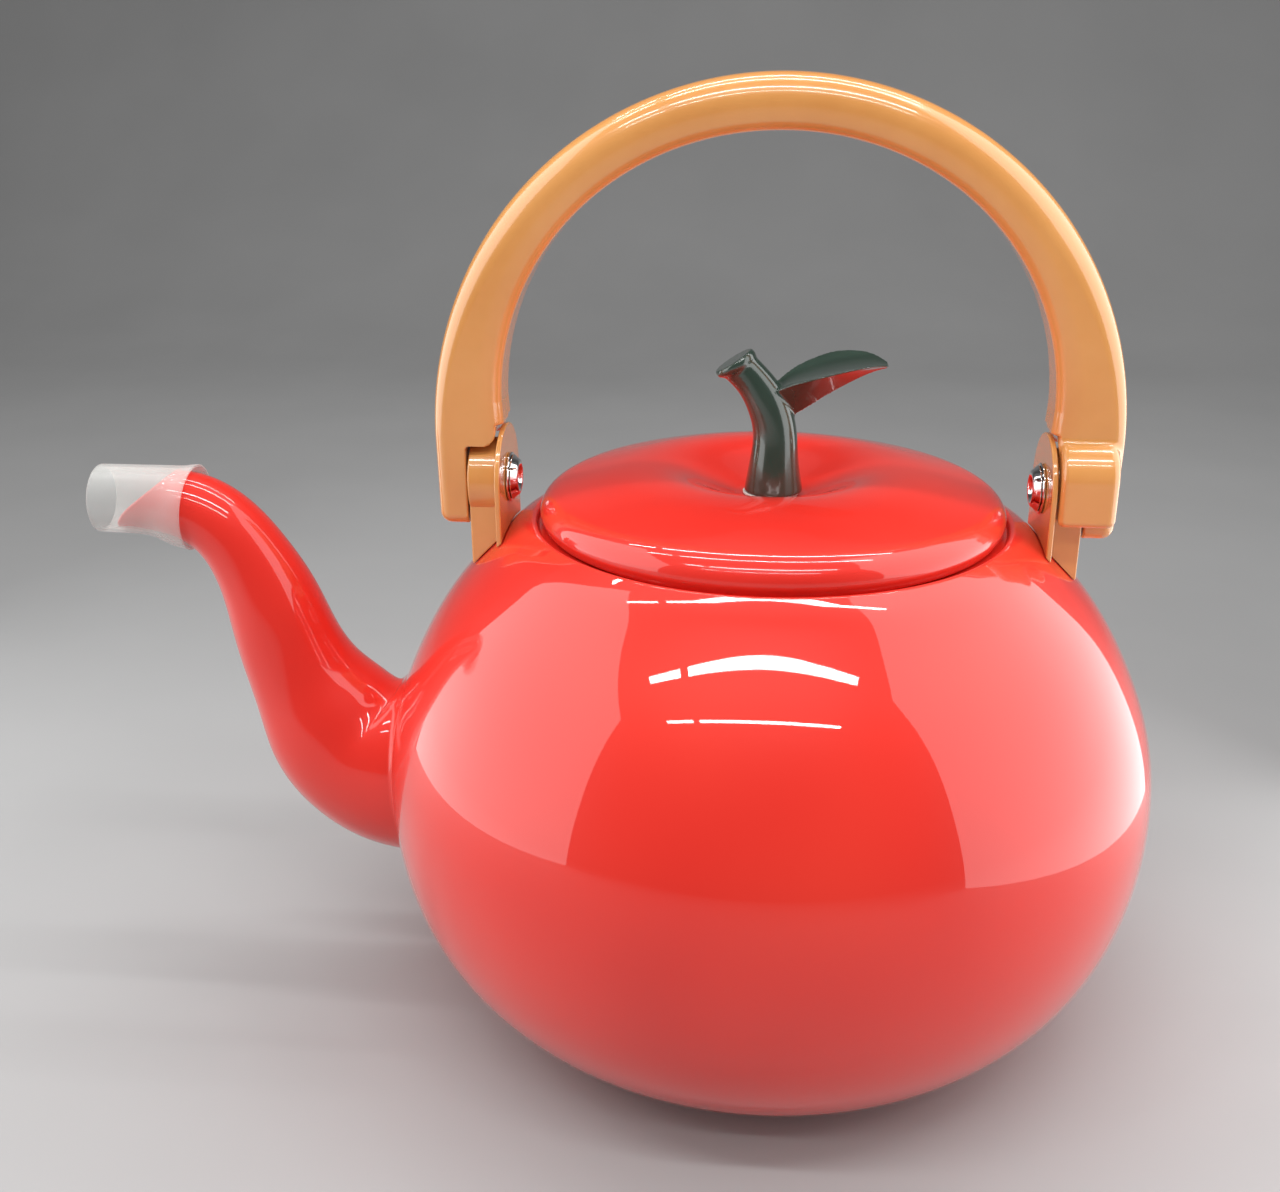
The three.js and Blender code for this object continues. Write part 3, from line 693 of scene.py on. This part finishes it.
def handle_field(points):
    """The handle: an arch with crowned faces, a notch in each leg, and a boss in front of the right pivot."""
    side, y, z = points[:, 0], points[:, 1], points[:, 2]
    x = np.abs(side)
    up = z - ARCH_CENTRE_HEIGHT
    over = z - PIVOT_HEIGHT
    ring = np.hypot(y, over)
    leg_outer = x - ARCH_OUTER_RADIUS - LEG_TAPER * up
    outer = np.where(up > 0, np.hypot(x, up) - ARCH_OUTER_RADIUS, leg_outer)
    hole = inner_edge_distance(x, z)
    face_crown = CROWN_BEND * np.maximum(hole + CROWN_WIDTH, 0) ** 2
    face = np.abs(y) - HANDLE_HALF_DEPTH + face_crown
    crown = np.clip(up / CROWN_BLEND, 0, 1)
    outline = rounded_and(outer + LEG_SLIMMING * (1 - crown), LEG_BOTTOM - z, LEG_CORNER)
    bar = rounded_and(outline, face, EDGE_ROUNDING + CROWN_ROUNDING * crown)
    bar = rounded_and(bar, hole, HOLE_ROUNDING)
    drum = np.where(over > 0, ring, 0) - NOTCH_RADIUS
    notch = rounded_and(drum, x - LEG_PLATE_INNER, 0.8)
    lip = rounded_and(x - NOTCH_INNER, over - LIP_HEIGHT, 0.3)
    notch = rounded_or(notch, lip, NOTCH_FILLET)
    hook = np.maximum(np.hypot(x - HOOK_X, over - LIP_HEIGHT) - HOOK_RADIUS, HOOK_FRONT - y)
    notch = rounded_or(notch, hook, 0.4)
    bar = rounded_and(bar, -notch, CRISP_EDGE)
    boss = rounded_and(over - BOSS_TOP, -y - BOSS_FRONT, BOSS_ROUNDING)
    boss = rounded_and(boss, BOSS_BOTTOM - over, 1.5)
    boss = rounded_and(boss, side - BOSS_OUTER, 2.3)
    boss = rounded_and(boss, BOSS_INNER - side, 1.5)
    boss = np.maximum(boss, y + BOSS_BACK)
    hollow = np.maximum(ring - BOSS_WALL, side - LEG_PLATE_INNER)
    boss = rounded_and(boss, -hollow, CRISP_EDGE)
    return np.where(side > 0, rounded_or(bar, boss, 1), bar)


def make_handle():
    """The handle as a mesh, in half-millimetre cells."""
    margin = 1.1
    low = (-ARCH_OUTER_RADIUS - margin, -BOSS_FRONT - margin, LEG_BOTTOM - margin)
    high = (ARCH_OUTER_RADIUS + margin, HANDLE_HALF_DEPTH + margin, HANDLE_TOP + margin)
    cell = 0.5
    handle = skin("bail_handle", handle_field, low, high, cell)
    return finish_piece(handle, "handle", "handle", resin)


# ---------------------------------------------------------------- pivots

FLANGE_OUTER = FLANGE_INNER + 1.3
BARREL_RADIUS = 9.9
TONGUE_HALF_WIDTH = 8.2
EAR_RADIUS = 6.5
EAR_MIDDLE = 69.9
EAR_HALF_THICKNESS = 1.3
BUSH_RADIUS = 3.9
SCREW_RADIUS = 2.0
SCREW_HOLE = 2.2
CHAMFER_DROP = 20.2
BODY_CLEARANCE = 0.15


def cover_field(points):
    """A pivot cover: a flange, a barrel round the pivot and a tongue down to the body, hollow for the ear."""
    x, y, z = points.T
    over = z - PIVOT_HEIGHT
    round_part = np.hypot(y, over)
    disc = np.where(over > 0, round_part, np.abs(y)) - FLANGE_RADIUS
    flange = rounded_and(disc, np.maximum(FLANGE_INNER - x, x - FLANGE_OUTER), 0.35)
    tongue = rounded_and(np.abs(y) - TONGUE_HALF_WIDTH, over, 0.1)
    section = np.minimum(round_part - BARREL_RADIUS, tongue)
    barrel = rounded_and(section, x - BARREL_OUTER, 0.4)
    barrel = np.maximum(barrel, FLANGE_INNER + 0.4 - x)
    chamfer = (x - BARREL_OUTER - over - CHAMFER_DROP) / math.sqrt(2)
    barrel = rounded_and(barrel, chamfer, 0.3)
    cover = rounded_or(flange, barrel, 0.3)
    cover = rounded_and(cover, BODY_CLEARANCE - body_distance(points), 0.15)
    ear = np.where(over > 0, round_part, np.abs(y)) - EAR_RADIUS
    slot = np.maximum(ear, np.abs(x - EAR_MIDDLE) - EAR_HALF_THICKNESS)
    hollow = np.minimum(slot, round_part - BUSH_RADIUS)
    return np.maximum(cover, -hollow)


def make_cover(side, turn):
    """The cover of one pivot. The left one is the right one turned half way round."""

    def field(points):
        return cover_field(points * np.array([turn, turn, 1]))

    margin, below = 0.8, 3
    width = FLANGE_RADIUS + margin
    low = np.array([FLANGE_INNER - margin, -width, corner("right_lug_cover", 0)[2] - below])
    high = np.array([BARREL_OUTER + margin, width, PIVOT_HEIGHT + width])
    if turn < 0:
        low[:2], high[:2] = -high[:2], -low[:2]
    cover = skin(side + "_pivot_cover", field, low, high, 0.28)
    return finish_piece(cover, side + "_lug_cover", "kettle", resin)


def turned_on_pivot(name, profile, turn, sides=72):
    """A piece turned about the pivot's axis from [radius, distance along X] points."""
    profile = np.array(profile, float)
    profile[:, 1] *= turn
    if turn < 0:
        profile = profile[::-1]
    return lathe(name, profile, sides, "X", (0, 0, PIVOT_HEIGHT))


def ring_profile(low, high, radius, bore, edge=0.2):
    """The outline of a ring with its edges taken off."""
    return [
        (bore, low + edge), (bore + edge, low), (radius - edge, low), (radius, low + edge),
        (radius, high - edge), (radius - edge, high), (bore + edge, high), (bore, high - edge),
    ]


def make_pivot(side, turn):
    """The screw, washer, bush and insert of one pivot. The steel ear keeps its CAD shape."""
    base = FLANGE_INNER - 0.9
    top = SCREW_HEAD_TOP
    screw = [
        (0, top + 1.3), (1.6, top + 1.3), (2.1, top + 1.15), (2.6, top + 0.75), (3.1, top + 0.2),
        (3.4, top + 0.03), (3.7, top), (4.1, top + 0.06), (4.4, top + 0.25), (4.6, top + 0.55),
        (5.1, top + 1.1), (5.45, top + 1.45), (5.6, top + 1.6), (5.6, base - 0.12), (5.48, base),
        (SCREW_RADIUS, base), (SCREW_RADIUS, SCREW_TIP - 0.5), (1.5, SCREW_TIP), (0, SCREW_TIP),
    ]
    head = turned_on_pivot(side + "_screw", screw, turn)
    finish_piece(head, side + "_pivot_screw", "handle", chrome)
    washer_ring = ring_profile(base + 0.1, base + 0.8, 6.2, SCREW_HOLE, 0.22)
    washer = turned_on_pivot(side + "_washer", washer_ring, turn)
    finish_piece(washer, side + "_pivot_washer", "handle", chrome)
    bush_ring = ring_profile(base + 1.1, BARREL_OUTER - 0.1, BUSH_RADIUS - 0.1, SCREW_HOLE)
    bush = turned_on_pivot(side + "_bush", bush_ring, turn, 48)
    finish_piece(bush, side + "_pivot_bush", "kettle", steel)
    insert_ring = ring_profile(75.5, SCREW_TIP + 0.4, 3.6, SCREW_RADIUS + 0.1)
    insert = turned_on_pivot(side + "_insert", insert_ring, turn, 48)
    finish_piece(insert, side + "_handle_insert", "handle", brass)
    ear = frame["nodes"][side + "_lug"].data
    ear.materials.clear()
    ear.materials.append(steel)


# ---------------------------------------------------------------- lid

LID_RADIUS = 56.9
LID_DIMPLE = 139.2
LID_HOLE = 2.6
SKIRT_RADIUS = 48.6


def make_lid():
    """The lid's shell with its dimple, and the skirt ring below it."""
    outline = through(
        [
            (55.9, 133.1), (LID_RADIUS, 135.6), (56.3, 138.2), (54, 140.4), (50, 142), (46, 143.1),
            (41, 144.4), (36, 145.5), (32, 146), (28.6, 146.1), (22, 144.9), (15, 141.9),
            (8.6, LID_DIMPLE),
        ],
        80,
    )
    inside = offset(outline, -SHEET)[::-1]
    profile = np.vstack([
        outline, (5.5, LID_DIMPLE - 0.1), (LID_HOLE, LID_DIMPLE - 0.1),
        (LID_HOLE, LID_DIMPLE - SHEET), (5.5, LID_DIMPLE - SHEET), inside[1:-1],
        (54.5, 133.1), (55.2, 132.65),
    ])
    shell = lathe("enamel_lid", profile, 160)
    finish_piece(shell, "lid_shell", "lid", red_enamel)
    top, bottom, wall = 138.9, 122, 1.0
    skirt_profile = [
        *arc((SKIRT_RADIUS - wall / 2, bottom + wall / 2), wall / 2, 180, 360, 8),
        (SKIRT_RADIUS, top - 3), (SKIRT_RADIUS + 0.3, top - 1.5), (SKIRT_RADIUS + 1, top - 1),
        (SKIRT_RADIUS + 2.4, top - 0.9), (SKIRT_RADIUS + 2.4, top - 0.2),
        (SKIRT_RADIUS + 0.6, top - 0.1), (SKIRT_RADIUS - 0.4, top - 0.6), (SKIRT_RADIUS - wall, top - 2),
    ]
    skirt = lathe("lid_skirt_ring", skirt_profile, 160)
    finish_piece(skirt, "lid_skirt", "lid", red_enamel)


# Stem stations: x, z, radius.
STEM = spline([
    (0.6, 140.1, 7.1), (0.6, 147, 6), (0.5, 155, 5.3), (-1.6, 162, 5), (-5.2, 167.4, 4.45),
    (-9.4, 171.6, 4.4),
])
STEM_END = (-9.8, 171.9)
STEM_END_TILT = math.radians(33)
STEM_END_RADIUS = 5.1
FLARE_HALF_THICKNESS = 0.7
LEAF_TILT = 0.16
LEAF_HOLLOW = 0.8
# Leaf stations: x, rim height, keel height, half-width.
LEAF = [
    (0.5, 166, 157.2, 3.2), (4.5, 168.5, 158.6, 5.6), (9.5, 170.5, 161.8, 7.4), (14.5, 172, 165, 7.9),
    (19.5, 172.7, 167.8, 6.8), (23.8, 172.6, 169.8, 4.6), (27, 171.7, 170.7, 1.6),
]
KNOB_BOTTOM = corner("lid_knob", 0)[2]
stem_points = STEM(np.linspace(0, 1.0, 160))
leaf_points = through(LEAF, 90)


def knob_field(points):
    """The knob: a bent stem with a flared end, joined to a leaf with a keel below and a hollow top."""
    x, y, z = points.T
    stem = np.full(len(points), 1e3)
    for station_x, station_z, radius in stem_points:
        reach = np.sqrt((x - station_x) ** 2 + y**2 + (z - station_z) ** 2) - radius
        stem = np.minimum(stem, reach)
    out = np.array([-math.sin(STEM_END_TILT), math.cos(STEM_END_TILT)])
    past = (x - STEM_END[0]) * out[0] + (z - STEM_END[1]) * out[1]
    sideways = np.hypot((x - STEM_END[0]) * out[1] - (z - STEM_END[1]) * out[0], y)
    stem = np.maximum(stem, past + 0.5)
    rim_disc = np.abs(past + FLARE_HALF_THICKNESS) - FLARE_HALF_THICKNESS
    flare = rounded_and(sideways - STEM_END_RADIUS, rim_disc, 0.65)
    stem = rounded_or(stem, flare, 1.6)
    stem = rounded_and(stem, KNOB_BOTTOM - z, 0.3)
    rim = np.interp(x, leaf_points[:, 0], leaf_points[:, 1])
    keel = np.interp(x, leaf_points[:, 0], leaf_points[:, 2])
    half = np.interp(x, leaf_points[:, 0], leaf_points[:, 3])
    across = y / half
    tilt = LEAF_TILT * y
    hollow = np.minimum(0.13 * (rim - keel), LEAF_HOLLOW)
    top = z - (rim + tilt - hollow * (1 - np.minimum(across**2, 1)))
    lean = (rim - keel) / half
    under = (keel + np.abs(y) * lean + tilt * np.abs(across) - z) / np.sqrt(1 + lean**2)
    blade = rounded_and(top, under, 0.35)
    blade = rounded_and(blade, np.abs(y) - half, 0.3)
    blade = np.maximum(blade, LEAF[0][0] - x)
    blade = rounded_and(blade, x - LEAF[-1][0], 0.5)
    return rounded_or(stem, blade, 0.7)


def make_knob():
    """The knob, its seal and its plate. The knob's screw keeps its CAD shape."""
    margin = 1.2
    low, high = corner("lid_knob", 0) - margin, corner("lid_knob", 1) + margin
    knob = skin("stem_and_leaf_knob", knob_field, low, high, 0.32)
    finish_piece(knob, "lid_knob", "lid", green)
    gasket_low, gasket_high = corner("knob_gasket", 0)[2], corner("knob_gasket", 1)[2]
    gasket = lathe("knob_seal", ring_profile(gasket_low, gasket_high, 6.9, LID_HOLE, 0.2), 64)
    finish_piece(gasket, "knob_gasket", "lid", silicone)
    washer_low, washer_high = corner("knob_washer", 0)[2], corner("knob_washer", 1)[2]
    washer = lathe("knob_plate", ring_profile(washer_low, washer_high, 7.5, SCREW_HOLE, 0.2), 64)
    finish_piece(washer, "knob_washer", "lid", steel)
    knob_screw = frame["nodes"]["knob_screw"].data
    knob_screw.materials.clear()
    knob_screw.materials.append(steel)


make_body()
make_spout()
make_sleeve()
make_handle()
for side, turn in (("right", 1), ("left", -1)):
    make_cover(side, turn)
    make_pivot(side, turn)
make_lid()
make_knob()


# ---------------------------------------------------------------- floor, light and camera

def make_floor():
    """A pale sheet that curves up behind the kettle."""
    front, back, rise, half = -1.4, 1.3, 1.6, 2.6
    bend = 0.5
    section = [(front, 0.0), (back - bend, 0.0)]
    section += [
        (back - bend + bend * math.sin(a), bend - bend * math.cos(a))
        for a in np.linspace(0, math.pi / 2, 24)[1:]
    ]
    section.append((back, rise))
    points = [(x / MM, y / MM, z / MM) for y, z in section for x in (-half, half)]
    faces = [(2 * i, 2 * i + 1, 2 * i + 3, 2 * i + 2) for i in range(len(section) - 1)]
    floor = mesh_object("floor", points, faces)
    made, tree, shader = new_material("pale_floor")
    tone = ramp(tree, noise(tree, 6, 3), [(0.3, (0.35, 0.35, 0.35)), (0.7, (0.38, 0.38, 0.38))])
    tree.links.new(tone, shader.inputs["Base Color"])
    shader.inputs["Roughness"].default_value = 0.7
    floor.data.materials.append(made)


def card(name, place, aim, width, height, power):
    """A flat soft light that faces a point."""
    light = bpy.data.lights.new(name, "AREA")
    light.shape = "RECTANGLE"
    light.size, light.size_y = width, height
    light.energy = power
    made = bpy.data.objects.new(name, light)
    made.location = place
    made.rotation_euler = (Vector(aim) - Vector(place)).to_track_quat("-Z", "Y").to_euler()
    made.visible_camera = False
    bpy.context.scene.collection.objects.link(made)


def make_light():
    """Two tall soft walls beside the kettle, and rows of strip lights above it."""
    world = bpy.data.worlds.new("studio")
    world.use_nodes = True
    back = world.node_tree.nodes["Background"]
    world_strength = 0.14
    back.inputs["Color"].default_value = (1, 1, 1, 1)
    back.inputs["Strength"].default_value = world_strength
    bpy.context.scene.world = world
    # Powers are watts for each square metre of light.
    wall_height, wall_power = 0.85, 7.4
    walls = (("left", (-0.78, -0.64), (-0.42, 0.17)), ("right", (0.56, -0.44), (0.21, 0.115)))
    for name, front, rear in walls:
        middle = [(f + r) / 2 for f, r in zip(front, rear)]
        length = math.dist(front, rear)
        place = (*middle, wall_height / 2)
        aim = (*square_to_wall(front, rear, middle), wall_height / 2)
        card(name + "_wall", place, aim, length, wall_height, wall_power * length * wall_height)
    ceiling, tube_power = 1.13, 110
    rows = ((-0.92, 0.035), (-0.52, 0.05), (0.08, 0.03), (0.39, 0.03))
    tubes = (("long", 0.045, 0.92), ("short", -0.56, 0.2))
    for row, (y, width) in enumerate(rows):
        for kind, x, length in tubes:
            below = (x, y + 0.001, 0)
            power = tube_power * length * width
            card(f"{kind}_tube_{row}", (x, y, ceiling), below, length, width, power)


def square_to_wall(front, rear, middle):
    """A point on the kettle's side of an upright wall, straight out from its middle."""
    along = np.array([rear[0] - front[0], rear[1] - front[1]])
    out = np.array([-along[1], along[0]]) / np.linalg.norm(along)
    if np.dot(out, middle) > 0:
        out = -out
    return float(middle[0] + out[0]), float(middle[1] + out[1])


def make_camera():
    """A camera in front of the kettle, looking down on it a little."""
    camera = bpy.data.objects.new("camera", bpy.data.cameras.new("camera"))
    camera.data.sensor_width = 36
    camera.data.lens = 39.375
    camera.data.clip_start = 0.01
    place = Matrix.Translation((0.00039, -0.33363, 0.2401))
    pan, look_down, lean = 0.098554, 0.368094, -0.005286
    turn = Matrix.Rotation(pan, 4, "Z")
    tip = Matrix.Rotation(math.pi / 2 - look_down, 4, "X")
    roll = Matrix.Rotation(lean, 4, "Z")
    camera.matrix_world = place @ turn @ tip @ roll
    bpy.context.scene.collection.objects.link(camera)
    bpy.context.scene.camera = camera


make_floor()
make_light()
make_camera()
bpy.context.scene.view_settings.view_transform = "Standard"
